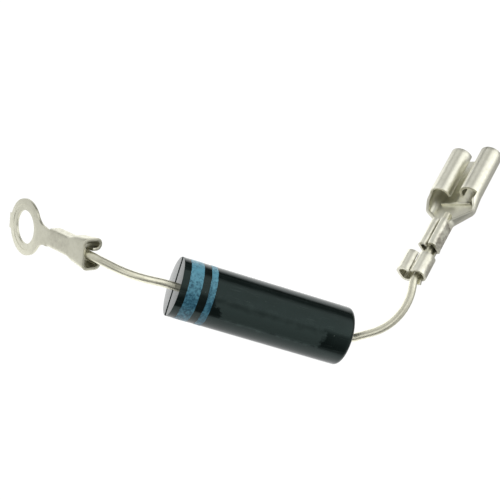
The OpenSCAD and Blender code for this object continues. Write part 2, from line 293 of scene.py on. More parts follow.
# %% [markdown]
# ## Sheet that is folded
#
# Both terminals are stamped from one flat strip and folded along their length. Modelling them
# from blocks would give corners that no press makes. So a press brake is copied instead: half
# of a section is drawn from its middle as straight runs and folds, with an extruded point and
# a spin. A fold is given as the straight run before it, its radius, its angle and its steps.

# %% Draw half of a section
FLOOR_STRIP = 0.3
FOLD_STEPS = 9

def run(length):
    return (length, 0, 0, 0)

floor_strips = [run(FLOOR_STRIP), run(FLOOR_STRIP)]

def half_section(bm, z, folds, side, drop=0.0):
    first_vert, first_edge = len(bm.verts), len(bm.edges)
    tip = bm.verts.new((0, 0, z))
    heading = 0.0
    for straight, radius, angle, steps in folds:
        ahead = Vector((math.cos(heading), math.sin(heading), 0))
        if straight:
            tip = bmesh.ops.extrude_vert_indiv(bm, verts=[tip])["verts"][0]
            bmesh.ops.translate(bm, verts=[tip], vec=ahead * straight)
        if angle:
            hub = tip.co + radius * Vector((-ahead.y, ahead.x, 0))
            arc = bmesh.ops.spin(bm, geom=[tip], cent=hub, axis=(0, 0, 1),
                                 angle=math.radians(angle), steps=steps)
            tip = arc["geom_last"][0]
            heading += math.radians(angle)
    row = list(bm.verts)[first_vert:]
    bmesh.ops.scale(bm, vec=(side, 1, 1), verts=row)
    bmesh.ops.translate(bm, vec=(0, -drop, 0), verts=row)
    return list(bm.edges)[first_edge:]

# %% [markdown]
# ## Sections along the wire
#
# A press forms the whole length at once. Here the sections stand at stations along the wire
# and are bridged from one to the next, on the right side and then on the left. Where two
# lengths share their floor, their points fall on each other and merge. Where the strip is
# slit, they don't, and the slit stays open.

# %% Carry a section along the wire
STATION_GAP = 0.6

def levels(first, last, longest=STATION_GAP):
    count = math.ceil((last - first) / longest)
    return [first + (last - first) * i / count for i in range(count + 1)]

def carry(bm, stations, sides=(1, -1)):
    for side in sides:
        rows = [half_section(bm, *station[:2], side, *station[2:]) for station in stations]
        for first, second in zip(rows, rows[1:]):
            bmesh.ops.bridge_loops(bm, edges=first + second)

# %% [markdown]
# ## Thickness and cut edges
#
# The sections draw one skin of the sheet. A Solidify modifier could thicken it, but the
# operator does it inside the mesh, and then it is known which faces are new: a face with
# points on both skins is where the sheet was sheared from the strip. Shears leave a duller
# surface there, so those faces get the number 1 under the name "cut". The edges are rounded
# last, because a shear and the plating bath leave no sharp corner.

# %% Give the sheet its thickness
EDGE_R = 0.05
EDGE_STEPS = 2
SHEET_MERGE = 0.004
FLATNESS_COUNTS = 10

def off_middle(face):
    spot = face.calc_center_median()
    return abs(spot.x) + FLATNESS_COUNTS * abs(spot.y)

def give_thickness(bm):
    cut = bm.faces.layers.float.new("cut")
    bmesh.ops.remove_doubles(bm, verts=bm.verts, dist=SHEET_MERGE)
    bmesh.ops.recalc_face_normals(bm, faces=bm.faces)
    if min(bm.faces, key=off_middle).normal.y > 0:
        bmesh.ops.reverse_faces(bm, faces=bm.faces)
    drawn_skin = set(bm.verts)
    bmesh.ops.solidify(bm, geom=bm.faces[:], thickness=SHEET)
    for face in bm.faces:
        face[cut] = len({vert in drawn_skin for vert in face.verts}) - 1

def round_edges(bm):
    cut_edges = [e for e in bm.edges if e.is_manifold and e.calc_face_angle(0) > SHARP]
    bmesh.ops.bevel(bm, geom=cut_edges, offset=EDGE_R, offset_type="OFFSET",
                    segments=EDGE_STEPS, profile=0.5, affect="EDGES", clamp_overlap=True,
                    material=-1)
    left_open = sum(not e.is_manifold for e in bm.edges)
    print("   edges rounded:", len(cut_edges), " left open:", left_open)

# %% [markdown]
# ## The wire crimp
#
# Both terminals hold the bare wire in the same crimp: the two wings are rolled over in the
# die until they meet in a seam and dig into the wire, so their tops are two round humps. At
# its mouth the die leaves a small bell, which keeps the edge from nicking the wire. So the
# same folds are used at every station, with the walls a little further apart in the bell.

# %% The folds of a wire crimp
CRIMP_LEN = 4.7
CRIMP_HALF = 1.2
CRIMP_H = 2.15
CRIMP_FOLD = 0.5
HUMP = 0.58
HUMP_STEPS = 14
WALL_TOP = 1.3
CRIMP_GAP = 0.06
BELL = ((0, 0.09), (0.25, 0.035), (0.5, 0.0))

def crimp_folds(spread=0.0):
    last_strip = CRIMP_HALF + spread - CRIMP_FOLD - 2 * FLOOR_STRIP
    return floor_strips + [(last_strip, CRIMP_FOLD, 90, FOLD_STEPS), run(WALL_TOP - CRIMP_FOLD),
                           (CRIMP_H - HUMP - WALL_TOP, HUMP, 180, HUMP_STEPS),
                           run(CRIMP_H - HUMP - WIRE_TOP - CRIMP_GAP)]

def crimp(bm, mouth, end):
    bell = [(mouth + further, crimp_folds(spread)) for further, spread in BELL]
    rest = levels(mouth + BELL[-1][0], end)[1:]
    carry(bm, bell + [(z, crimp_folds()) for z in rest])

print("crimp:", 2 * CRIMP_HALF, "mm wide and", CRIMP_H, "mm high")

# %% [markdown]
# ## How closed a place is
#
# Deep inside a fold the tin is painted darker. This is painted shade: it stands in for the
# shade that falls there. A finish can't know where that is, so each point of the mesh gets a
# number: rays are sent out from it on all sides, and the share of them that soon hit the sheet
# again is kept on the mesh as its hollow shade. The points of the crimps and of the receptacle's
# grip also get a number under the name "pressed", because the die leaves its marks there. It
# fades over the ends of a press, and is 0 on faces that look towards +y, such as the tops of the humps.

# %% Measure the hollows
RAYS = 40
REACH = 2.6
GOLDEN = math.pi * (3 - math.sqrt(5))
OFF_SKIN = 0.01
PRESS_FADE = 0.4

def around(normal):
    turn = Vector((0, 0, 1)).rotation_difference(normal)
    for i in range(RAYS):
        up = math.sqrt((i + 0.5) / RAYS)
        out = math.sqrt(1 - up * up)
        yield turn @ Vector((out * math.cos(i * GOLDEN), out * math.sin(i * GOLDEN), up))

def mark_hollows(bm, presses):
    bm.normal_update()
    tree = BVHTree.FromBMesh(bm)
    hollow = bm.verts.layers.float.new("hollow")
    pressed = bm.verts.layers.float.new("pressed")
    for vert in bm.verts:
        origin = vert.co + vert.normal * OFF_SKIN
        hits = sum(tree.ray_cast(origin, ray, REACH)[0] is not None for ray in around(vert.normal))
        # this share later darkens the tin's colour: painted shade in the folds
        vert[hollow] = hits / RAYS
        for first, last, force in presses:
            inside = min(vert.co.z - first, last - vert.co.z)
            share = min(max(inside / PRESS_FADE + 0.5, 0), 1) * (1 - max(vert.normal.y, 0))
            vert[pressed] = max(vert[pressed], share * force)
    print("   most closed point:", round(max(v[hollow] for v in bm.verts), 2))

# %% [markdown]
# ## The ring terminal
#
# It starts with an open grip, whose wings would hold a sleeve, and goes on with the wire
# crimp. Between them the strip is slit and only its floor and two low walls run through. The
# grip flares towards its mouth, so its folds depend on the station. The same wing could be a
# curve with a bevel, but folds give the sheet its true width at each place.

# %% The grip and the crimp of the ring terminal
GRIP_LEN = 3.0
GRIP_HALF = 1.6
GRIP_FOLD = 0.75
GRIP_H = 2.6
GRIP_HUMP = 0.78
GRIP_HUMP_STEPS = 16
GRIP_GAP = 0.02
GRIP_FLARE = math.tan(math.radians(7))
GRIP_LOW_WALL = (0.25, GRIP_FOLD, 60, 6)
CRIMP_LOW_WALL = (0.19, CRIMP_FOLD, 60, 6)
RING_CRIMP = 3.4
RING_CRIMP_END = RING_CRIMP + CRIMP_LEN

def grip_folds(z):
    side = GRIP_HALF + GRIP_FLARE * (GRIP_LEN - z)
    last_strip = side - GRIP_FOLD - 2 * FLOOR_STRIP
    return floor_strips + [(last_strip, GRIP_FOLD, 90, FOLD_STEPS),
                           (GRIP_H - GRIP_FOLD - GRIP_HUMP, GRIP_HUMP, 180, GRIP_HUMP_STEPS),
                           run(GRIP_H - GRIP_HUMP - WIRE_TOP - GRIP_GAP)]

bm = bmesh.new()
carry(bm, [(z, grip_folds(z)) for z in levels(0, GRIP_LEN)])
carry(bm, [(GRIP_LEN, floor_strips + [GRIP_LOW_WALL]),
           (RING_CRIMP, floor_strips + [CRIMP_LOW_WALL])])
crimp(bm, RING_CRIMP, RING_CRIMP_END)
print("grip and crimp:", len(bm.faces), "faces")

# %% [markdown]
# ## The eye
#
# The eye takes the screw. A flat disc with a hole would do, but the neck has to run into its
# rim without a seam. So one spoke is spun round the eye's middle in two parts, which meet
# exactly where the neck's curves touch the rim. The spoke has two points close together,
# which later make the slope of the coined land: the ring that a stamping tool presses into
# the outer face, round the hole.

# %% Spin the eye
NECK_LEN = 5.6
NECK_HALF = 1.15
NECK_R = 2.2
EYE_Z = RING_CRIMP_END + NECK_LEN
EYE_R = 3.6
HOLE_R = 2.15
LAND_R = 2.9
LAND_SLOPE = 0.04
LAND_DEEP = 0.05
NECK_SIDE_STEPS = 18
FAR_SIDE_STEPS = 74

blend_x = NECK_HALF + NECK_R
blend_z = math.sqrt((EYE_R + NECK_R) ** 2 - blend_x ** 2)
neck_angle = math.atan2(blend_x, blend_z)
eye_middle = Vector((0, 0, EYE_Z))
inwards = turned(-math.degrees(neck_angle), "Y")
spoke = [bm.verts.new(eye_middle + inwards @ Vector((0, 0, -r)))
         for r in (HOLE_R, LAND_R - LAND_SLOPE, LAND_R, EYE_R)]
spoke_edges = [bm.edges.new(pair) for pair in zip(spoke, spoke[1:])]
for angle, steps in ((2 * neck_angle, NECK_SIDE_STEPS), (2 * neck_angle - math.tau, FAR_SIDE_STEPS)):
    bmesh.ops.spin(bm, geom=spoke + spoke_edges, cent=eye_middle, axis=(0, 1, 0),
                   angle=angle, steps=steps)
bmesh.ops.remove_doubles(bm, verts=bm.verts, dist=SHEET_MERGE)
print("the neck takes", round(2 * math.degrees(neck_angle), 1), "degrees of the rim")

# %% [markdown]
# ## The neck
#
# The neck joins the eye to the crimp. On each side it leaves the rim on a curve and then runs
# straight. It is drawn out of the rim: the rim's edges are extruded row by row, each row a
# little narrower and flatter than the last, and the final row is bridged to the crimp's end.
# The tip keeps the stub of the strip from which the terminal was cut, one more extrusion.

# %% Helpers that draw edges out
ON_RIM = 1e-3

def rim_edges(where):
    return [e for e in bm.edges if len(e.link_faces) == 1
            and all(abs((v.co - eye_middle).length - EYE_R) < ON_RIM and where(v.co)
                    for v in e.verts)]

def edges_further(edges):
    grown = bmesh.ops.extrude_edge_only(bm, edges=edges)["geom"]
    verts = [g for g in grown if isinstance(g, bmesh.types.BMVert)]
    outer = [g for g in grown if isinstance(g, bmesh.types.BMEdge)
             and len(g.link_faces) == 1 and all(v in verts for v in g.verts)]
    return verts, outer

# %% Draw the neck out of the rim
NECK_ROWS = 8
NECK_ROOT = 0.3

touch_x = EYE_R * math.sin(neck_angle)
touch_z = math.sqrt(EYE_R ** 2 - touch_x ** 2)
whole_turn = math.acos(blend_x / (EYE_R + NECK_R))
turns = [whole_turn * (1 - i / NECK_ROWS) for i in range(1, NECK_ROWS + 1)]
outline = [(blend_x - NECK_R * math.cos(t), blend_z - NECK_R * math.sin(t)) for t in turns]
outline.append((NECK_HALF, NECK_LEN - NECK_ROOT))
neck_edges = rim_edges(lambda co: abs(co.x) < touch_x + ON_RIM and co.z < EYE_Z)
row_half = touch_x
for index, (width, away) in enumerate(outline, 1):
    verts, neck_edges = edges_further(neck_edges)
    bulge = 1 - index / len(outline)
    for vert in verts:
        share = vert.co.x / row_half
        arch = math.sqrt(EYE_R ** 2 - (touch_x * share) ** 2) - touch_z
        vert.co = (width * share, 0, EYE_Z - away - bulge * arch)
    row_half = width
print("neck:", len(outline), "rows of", len(neck_edges), "edges")

# %% Join it to the crimp, and add the tip's stub
NECK_LOW_WALL = (0.1, CRIMP_FOLD, 50, 5)
TIP_HALF = 1.0
TIP_OUT = 0.25

crimp_row = []
for side in (1, -1):
    crimp_row += half_section(bm, RING_CRIMP_END, floor_strips + [NECK_LOW_WALL], side)
bmesh.ops.remove_doubles(bm, verts=list({v for e in crimp_row for v in e.verts}),
                         dist=SHEET_MERGE)
crimp_row = [e for e in bm.edges if not e.link_faces]
bmesh.ops.bridge_loops(bm, edges=neck_edges + crimp_row)
tip_verts = edges_further(rim_edges(lambda co: abs(co.x) < TIP_HALF and co.z > EYE_Z))[0]
for vert in tip_verts:
    vert.co.z = EYE_Z + EYE_R + TIP_OUT
print("ring terminal:", len(bm.faces), "faces before it gets its thickness")

# %% Thickness, coined land and the marks of the die
give_thickness(bm)
round_edges(bm)
for vert in bm.verts:
    flat = vert.co - eye_middle
    if flat.y < SHEET / 2 and Vector((flat.x, flat.z)).length < LAND_R - LAND_SLOPE / 2:
        vert.co.y += LAND_DEEP
mark_hollows(bm, [(RING_CRIMP, RING_CRIMP_END, 1)])
pressed = bm.verts.layers.float["pressed"]
# the stub at the tip gets the full pressed number, which darkens it: painted shade on the stub
for vert in bm.verts:
    if vert.co.z > EYE_Z + EYE_R:
        vert[pressed] = 1
ring_sheet = finish_piece(bm, "ring_sheet", at_ring, ["ring_terminal"])

# %% [markdown]
# ## The push-on receptacle
#
# The same strip again: two low wings that grip the wire, one of them standing open, the wire
# crimp, then a funnel that widens to the mouth, where both sides are rolled in to clasp a
# tab. Each of these is a list of folds, as before. The roll and the funnel share their lowest
# fold, so the sheet runs through without a joint.

# %% Sections of the grip and the rolls
WING_LEN = 3
TAB_CRIMP = 4.5
TAB_CRIMP_END = 8.75
FUNNEL = TAB_CRIMP + CRIMP_LEN
FUNNEL_LEN = 4.1
ROLLS = FUNNEL + FUNNEL_LEN
ROLL_LEN = 7.2
ROLL_HALF = 3.7
ROLL_R = 1.45
ROLL_CURL = 281.9
CURL_STEPS = 20
ROLL_WALL = 2.0
MOUTH_SHARES = (0.45, 0.47, 0.08)

open_wing = floor_strips + [(0.8, 0.85, 90, FOLD_STEPS), (0.75, 1.0, 160, 16)]
closed_wing = [run(FLOOR_STRIP), (FLOOR_STRIP, 0.95, 90, FOLD_STEPS), (0.25, 1.05, 125, 13)]
low_fold = math.degrees(math.acos(1 - ROLL_WALL / ROLL_R))
mouth_strips = [share * (ROLL_HALF - ROLL_R) for share in MOUTH_SHARES]
roll_folds = [run(mouth_strips[0]), run(mouth_strips[1]),
              (mouth_strips[2], ROLL_R, low_fold, FOLD_STEPS),
              (0, ROLL_R, ROLL_CURL - low_fold, CURL_STEPS)]
print("the roll's lowest fold turns", round(low_fold, 1), "degrees")

# %% [markdown]
# ## The funnel
#
# Between crimp and rolls the sheet widens like a funnel. Its two ends could be bridged in one
# go, but the walls would then widen evenly, and the real ones bend out, run straight and bend
# back. So the outline is worked out as two turns with a straight between them. At each
# station the fold's radius and the widths of the floor's strips lie between those of the
# crimp and those of the rolls, and the wall's height eases down and then up again.

# %% Sections of the funnel
FLARE = 52
FLARE_STEPS = 6
NARROW_TURN_R = 0.6
WIDE_TURN_R = 0.8
LOW_WALL = 1.0
SINKS_OVER = 1.2
RISES_FROM = 2.4
RISES_TO = 0.9
LEAST_WALL = 0.0001

crimp_flat = CRIMP_HALF - CRIMP_FOLD
strip_share = FLOOR_STRIP / crimp_flat
crimp_shares = (strip_share, strip_share, 1 - 2 * strip_share)

def between(first, last, share):
    return first + (last - first) * share

def eased(value, start, end):
    share = min(max((value - start) / (end - start), 0), 1)
    return share * share * (3 - 2 * share)

def wall_top(z):
    sunk = between(WALL_TOP, LOW_WALL, eased(z, TAB_CRIMP_END, TAB_CRIMP_END + SINKS_OVER))
    return sunk + (ROLL_WALL - LOW_WALL) * eased(z, ROLLS - RISES_FROM, ROLLS - RISES_TO)

def funnel_folds(z, side):
    share = max(0, (z - FUNNEL) / FUNNEL_LEN)
    fold_r = between(CRIMP_FOLD, ROLL_R, share)
    flat = side - fold_r
    strips = [flat * between(a, b, share) for a, b in zip(crimp_shares, MOUTH_SHARES)]
    full_angle = math.degrees(math.acos(max(1 - wall_top(z) / fold_r, -1)))
    angle = min(between(90, low_fold, share), full_angle)
    fold_top = fold_r * (1 - math.cos(math.radians(angle)))
    wall = (wall_top(z) - fold_top) / math.sin(math.radians(angle))
    return [run(strips[0]), run(strips[1]), (strips[2], fold_r, angle, FOLD_STEPS),
            run(max(wall, LEAST_WALL))]

# %% The funnel's outline
STOP_BACK = 0.8
STOP_FRONT = 0.5
MOUTH_GAP = 0.25

def funnel_sides():
    turns = [math.radians(FLARE * i / FLARE_STEPS) for i in range(FLARE_STEPS + 1)]
    out = [(TAB_CRIMP_END + NARROW_TURN_R * math.sin(a),
            CRIMP_HALF + NARROW_TURN_R * (1 - math.cos(a))) for a in turns]
    out_z, out_side = out[-1]
    rise = ROLL_HALF - WIDE_TURN_R * (1 - math.cos(turns[-1])) - out_side
    wide = out_z + rise / math.tan(turns[-1]) + WIDE_TURN_R * math.sin(turns[-1])
    back = [(wide - WIDE_TURN_R * math.sin(a), ROLL_HALF - WIDE_TURN_R * (1 - math.cos(a)))
            for a in reversed(turns)]
    ahead = levels(wide, ROLLS - STOP_BACK, MOUTH_GAP)[1:] + [ROLLS - STOP_FRONT, ROLLS]
    return out + back + [(z, ROLL_HALF) for z in ahead]

print("funnel:", len(funnel_sides()), "stations")

# %% [markdown]
# ## The receptacle's sheet
#
# All lengths are carried along the wire in the order in which they follow on the strip. The
# wings are different on the two sides, so each is carried on its own side. A short tail
# behind them is bent outwards a little, where the press cut the strip.

# %% Carry all lengths along the wire
TAIL = 0.47
TAIL_DROP = 0.171

bm = bmesh.new()
carry(bm, [(-TAIL, floor_strips, TAIL_DROP), (0, floor_strips)])
carry(bm, [(z, open_wing) for z in levels(0, WING_LEN)], [1])
carry(bm, [(z, closed_wing) for z in levels(0, WING_LEN)], [-1])
carry(bm, [(z, floor_strips) for z in levels(WING_LEN, TAB_CRIMP)])
crimp(bm, TAB_CRIMP, TAB_CRIMP_END)
carry(bm, [(z, funnel_folds(z, side)) for z, side in funnel_sides()])
carry(bm, [(z, roll_folds) for z in levels(ROLLS, ROLLS + ROLL_LEN)])
give_thickness(bm)
print("receptacle:", len(bm.faces), "faces")

# %% [markdown]
# ## The stop
#
# A ridge across the floor stops the tab when it is pushed home. On the real part it is
# pressed up out of the sheet. A bar could be laid on the floor, but it would look laid on. So
# the floor's faces between two stations are drawn up, and the faces they leave behind are
# deleted, and the ridge stays one skin with the floor.

# %% Raise the stop and finish
STOP_HALF = 2.2
STOP_H = 0.35
FACES_UP = 0.9
GRIP_PRESS = 0.7

stop_faces = []
for face in bm.faces:
    spot = face.calc_center_median()
    in_length = ROLLS - STOP_BACK < spot.z < ROLLS - STOP_FRONT
    if in_length and abs(spot.x) < STOP_HALF and face.normal.y > FACES_UP:
        stop_faces.append(face)
raised = bmesh.ops.extrude_face_region(bm, geom=stop_faces)["geom"]
raised_verts = [g for g in raised if isinstance(g, bmesh.types.BMVert)]
bmesh.ops.translate(bm, vec=(0, STOP_H, 0), verts=raised_verts)
bmesh.ops.delete(bm, geom=[f for f in stop_faces if f.is_valid], context="FACES")
print("stop raised from", len(stop_faces), "faces")
round_edges(bm)
mark_hollows(bm, [(TAB_CRIMP, TAB_CRIMP_END, 1), (0, WING_LEN, GRIP_PRESS)])
receptacle_sheet = finish_piece(bm, "receptacle_sheet", at_receptacle, ["receptacle_terminal"])

# %% [markdown]
# ## Building finishes from nodes
#
# A finish is a small network: patterns on one side, a shader on the other. The nodes could be
# laid out by hand in the editor, but in a script a few helpers say the same in one line each.
# The first one feeds a node: a socket is linked to it, and a plain value is set on it. The
# others add a node and give back what comes out, so they can be set one inside another. A Mix
# node has sockets for several kinds of value, and its colours are numbers 6 and 7.

# %% Helpers for node trees
def feed(tree, node, values):
    for label, value in values.items():
        if isinstance(value, bpy.types.NodeSocket):
            tree.links.new(value, node.inputs[label])
        else:
            node.inputs[label].default_value = value

def noise_node(tree, vector, scale, detail=3.0, roughness=0.55):
    node = tree.nodes.new("ShaderNodeTexNoise")
    feed(tree, node, {"Vector": vector, "Scale": scale, "Detail": detail,
                      "Roughness": roughness})
    return node.outputs["Fac"]

def ramp(tree, value, low, high, out_low=0.0, out_high=1.0):
    node = tree.nodes.new("ShaderNodeMapRange")
    feed(tree, node, {"Value": value, "From Min": low, "From Max": high,
                      "To Min": out_low, "To Max": out_high})
    return node.outputs["Result"]

def math_node(tree, how, first, second):
    node = tree.nodes.new("ShaderNodeMath")
    node.operation = how
    feed(tree, node, {0: first, 1: second})
    return node.outputs["Value"]

def product(tree, first, *others):
    for other in others:
        first = math_node(tree, "MULTIPLY", first, other)
    return first

def blend(tree, amount, first, second):
    node = tree.nodes.new("ShaderNodeMix")
    node.data_type = "RGBA"
    feed(tree, node, {0: amount, 6: first, 7: second})
    return node.outputs[2]

def split_axes(tree, vector):
    node = tree.nodes.new("ShaderNodeSeparateXYZ")
    feed(tree, node, {"Vector": vector})
    return node.outputs["X"], node.outputs["Y"], node.outputs["Z"]

# %% [markdown]
# ## A node group for tin
#
# Tin is never even: it has soft blotches about two millimetres wide, smaller mottles, and fine
# grain in between. It is darker on sheared edges, and stained and dented where a die pressed it.
# Deep in the folds it is painted darker as well: painted shade for the shade that falls there.
# The wire and both kinds of sheet need that, each with its own strengths. It could be copied
# into three materials, but one node group, which puts out a colour, a roughness and a height,
# is mended in one place.

# %% The group's sockets
def new_group(name, inputs, outputs):
    group = bpy.data.node_groups.new(name, "ShaderNodeTree")
    for label, kind, value in inputs:
        sock = group.interface.new_socket(name=label, in_out="INPUT", socket_type=kind)
        sock.default_value = value
    for label, kind in outputs:
        group.interface.new_socket(name=label, in_out="OUTPUT", socket_type=kind)
    group_in = group.nodes.new("NodeGroupInput")
    group_out = group.nodes.new("NodeGroupOutput")
    return group, group_in, group_out

tin, tin_in, tin_out = new_group(
    "tin surface",
    [("Vector", "NodeSocketVector", (0, 0, 0)),
     ("Bright", "NodeSocketColor", (0.8, 0.78, 0.72, 1)),
     ("Dull", "NodeSocketColor", (0.5, 0.48, 0.42, 1)),
     ("Shade_And_Shear", "NodeSocketColor", (0.1, 0.092, 0.052, 1)),
     ("Roughness", "NodeSocketFloat", 0.3),
     ("Hollow_Shade", "NodeSocketFloat", 0.0),
     ("Pressed", "NodeSocketFloat", 0.0),
     ("Cut", "NodeSocketFloat", 0.0),
     ("Marks", "NodeSocketFloat", 0.2)],
    [("Color", "NodeSocketColor"), ("Roughness", "NodeSocketFloat"), ("Height", "NodeSocketFloat")])

# %% The patterns of tin
BLOTCH_SCALE = 480
MOTTLE_SCALE = 2300
GRAIN_SCALE = 8000
DIE_SCALE = 1300
DIE_LIMITS = (0.36, 0.70)
HOLLOW_LIMITS = (0.35, 1.0)
HOLLOW_SHADE = 0.35
CUT_GRIME = 0.22

tin_spot = tin_in.outputs["Vector"]
blotches = noise_node(tin, tin_spot, BLOTCH_SCALE)
mottle = noise_node(tin, tin_spot, MOTTLE_SCALE, detail=4, roughness=0.6)
grain = noise_node(tin, tin_spot, GRAIN_SCALE, detail=2)
die_noise = noise_node(tin, tin_spot, DIE_SCALE, detail=4, roughness=0.6)
pressed_by = product(tin, tin_in.outputs["Pressed"], tin_in.outputs["Marks"])
die_marks = product(tin, ramp(tin, die_noise, *DIE_LIMITS), pressed_by)
# painted shade: the tin is darkened deep in the folds, where shade falls
in_hollows = product(tin, ramp(tin, tin_in.outputs["Hollow_Shade"], *HOLLOW_LIMITS), HOLLOW_SHADE)
on_sheared = product(tin, tin_in.outputs["Cut"], CUT_GRIME)
shade_and_shear = math_node(tin, "MAXIMUM", in_hollows, on_sheared)
marks_shade_and_shear = math_node(tin, "MAXIMUM", die_marks, shade_and_shear)

# %% Colour, roughness and height of tin
# each ramp: where it starts and ends, and what it gives there
BLOTCHES_DULL = (0.4, 0.75, 0, 0.35)
MOTTLES_DULL = (0.45, 0.72, 0, 0.4)
MOTTLES_ROUGHEN = (0.3, 0.7, -0.04, 0.06)
MARKS_SHADE_SHEAR_ROUGHEN = (0, 1, 0, 0.15)
DIE_STAIN = (0.120, 0.082, 0.058, 1)
GRAIN_HEIGHT = 0.3
DENT_HEIGHT = -3

dull_mask = math_node(tin, "ADD", ramp(tin, blotches, *BLOTCHES_DULL),
                      ramp(tin, mottle, *MOTTLES_DULL))
plated = blend(tin, dull_mask, tin_in.outputs["Bright"], tin_in.outputs["Dull"])
stained = blend(tin, die_marks, plated, DIE_STAIN)
# one dark colour paints shade into the hollows and also dulls the sheared edges
colour = blend(tin, shade_and_shear, stained, tin_in.outputs["Shade_And_Shear"])
rough_shift = math_node(tin, "ADD", ramp(tin, mottle, *MOTTLES_ROUGHEN),
                        ramp(tin, marks_shade_and_shear, *MARKS_SHADE_SHEAR_ROUGHEN))
rough = math_node(tin, "ADD", tin_in.outputs["Roughness"], rough_shift)
relief = math_node(tin, "ADD", mottle, product(tin, grain, GRAIN_HEIGHT))
dented = math_node(tin, "ADD", relief, product(tin, die_marks, DENT_HEIGHT))
feed(tin, tin_out, {"Color": colour, "Roughness": rough, "Height": dented})
print("tin group:", len(tin.nodes), "nodes")

# %% [markdown]
# ## What every material starts with
#
# Each material has one Principled shader and reads the object's own coordinates, which stay
# with the piece when the camera moves. A height goes through a Bump node to the shader's
# normal, because real relief this fine would need far too many points. What is the same all
# over the piece, such as a refractive index, is set on the shader's own socket.

# %% Helpers for materials
def new_material(name):
    material = bpy.data.materials.new(name)
    material.use_nodes = True
    tree = material.node_tree
    shader = tree.nodes["Principled BSDF"]
    place = tree.nodes.new("ShaderNodeTexCoord").outputs["Object"]
    return material, tree, shader, place

def bump(tree, height, distance):
    node = tree.nodes.new("ShaderNodeBump")
    feed(tree, node, {"Height": height, "Distance": distance})
    return node.outputs["Normal"]

def dress(piece, material):
    piece.data.materials.clear()
    piece.data.materials.append(material)

# %% [markdown]
# ## Tinned sheet and tinned wire
#
# Tin plate on stamped brass is satin, warm grey and a little blotchy where it was pressed.
# The ring terminal gets a darker copy of the same tin, painted shade, with fainter marks.
# Drawn and tinned wire is yellower, with less relief. All three are the same group with other
# values. The numbers that were kept on the meshes come in by Attribute nodes. The wires have
# none, so there they read as 0.

# %% Tin finishes
SHEET_RELIEF = 0.000012
WIRE_RELIEF = 0.000005

def kept_on_mesh(tree, name):
    node = tree.nodes.new("ShaderNodeAttribute")
    node.attribute_name = name
    return node.outputs["Fac"]

def tin_material(name, bright, dull, roughness, relief, marks=0.0):
    material, tree, shader, place = new_material(name)
    group = tree.nodes.new("ShaderNodeGroup")
    group.node_tree = tin
    feed(tree, group, {"Vector": place, "Bright": bright, "Dull": dull,
                       "Roughness": roughness, "Marks": marks,
                       "Hollow_Shade": kept_on_mesh(tree, "hollow"),
                       "Pressed": kept_on_mesh(tree, "pressed"),
                       "Cut": kept_on_mesh(tree, "cut")})
    feed(tree, shader, {"Base Color": group.outputs["Color"], "Metallic": 1.0,
                        "Roughness": group.outputs["Roughness"],
                        "Normal": bump(tree, group.outputs["Height"], relief)})
    return material

tinned_sheet = tin_material("tinned_sheet", bright=(0.93, 0.92, 0.80, 1), dull=(0.77, 0.76, 0.63, 1),
                            roughness=0.34, relief=SHEET_RELIEF, marks=0.8)
# painted shade: the ring's tin is a darker copy of the tinned sheet
shaded_ring_tin = tin_material("shaded_ring_tin", bright=(0.80, 0.79, 0.66, 1), dull=(0.66, 0.65, 0.53, 1),
                           roughness=0.36, relief=SHEET_RELIEF, marks=0.2)
tinned_wire = tin_material("tinned_wire", bright=(0.84, 0.825, 0.68, 1), dull=(0.62, 0.605, 0.47, 1),
                           roughness=0.35, relief=WIRE_RELIEF)
dress(ring_sheet, shaded_ring_tin)
dress(receptacle_sheet, tinned_sheet)
for lead in ("cathode_lead", "anode_lead"):
    dress(frame["nodes"][lead], tinned_wire)
print("tin on both sheets and both leads")

# %% [markdown]
# ## The body's axes in a material
#
# The body lies tilted, and its patterns run along it and round it. A second set of
# coordinates could be kept on the mesh, but the matrix that placed the body already knows the
# way back: a Mapping node turns the place by its inverse, and an arc tangent gives the angle
# round the body. The angle is 0 at the line that faces up, and grows towards the back.

# %% Read the body's axes in a material
def body_axes(tree, place):
    back = in_body.inverted()
    mapping = tree.nodes.new("ShaderNodeMapping")
    feed(tree, mapping, {"Vector": place, "Location": back.translation * MM,
                         "Rotation": back.to_euler()})
    inside = mapping.outputs["Vector"]
    axial, across, upward = split_axes(tree, inside)
    return inside, axial, math_node(tree, "ARCTAN2", across, upward)

def stretched(tree, vector, scale):
    node = tree.nodes.new("ShaderNodeMapping")
    feed(tree, node, {"Vector": vector, "Scale": scale})
    return node.outputs["Vector"]

def in_radians(degrees):
    return [math.radians(angle) for angle in degrees]

# %% [markdown]
# ## Black epoxy
#
# The body is glossy and nearly black with a green-blue cast, with light specks of filler and
# hair-fine scratches along it. Along its front a thin paler haze is painted on the black: a
# painted sheen that stands in for a soft reflection. It could be a patch of its own, but a
# soft reflection has no edge. So the haze is a product of four ramps: it starts past the bands,
# ends before the anode end, and fades out both ways round the body. Noise added to the place
# makes these limits ragged.

# %% Where a sheen is painted on the epoxy
RAGGED_SCALE = 900
RAGGED_LIMITS = (0.3, 0.7)
RAGGED = 0.0004
RAGGED_ROUND = 150
HAZE_STARTS_AT = (-0.0067, -0.0057)
HAZE_STARTS_TURNED = (-34, -42)
HAZE_SOFT_START = 0.0004
HAZE_ENDS = (0.0075, 0.0072)
HAZE_LOWER = (-58, -53)
HAZE_UPPER = (-10, -30)

epoxy, tree, shader, place = new_material("black_epoxy")
inside, axial, angle = body_axes(tree, place)
ragged = ramp(tree, noise_node(tree, place, RAGGED_SCALE), *RAGGED_LIMITS, -RAGGED, RAGGED)
axial_ragged = math_node(tree, "ADD", axial, ragged)
angle_ragged = math_node(tree, "ADD", angle, product(tree, ragged, RAGGED_ROUND))
haze_start = ramp(tree, angle_ragged, *in_radians(HAZE_STARTS_TURNED), *HAZE_STARTS_AT)
past_start = math_node(tree, "SUBTRACT", axial_ragged, haze_start)
painted_sheen_mask = product(tree, ramp(tree, past_start, 0, HAZE_SOFT_START),
                 ramp(tree, axial_ragged, *HAZE_ENDS),
                 ramp(tree, angle_ragged, *in_radians(HAZE_LOWER)),
                 ramp(tree, angle_ragged, *in_radians(HAZE_UPPER)))

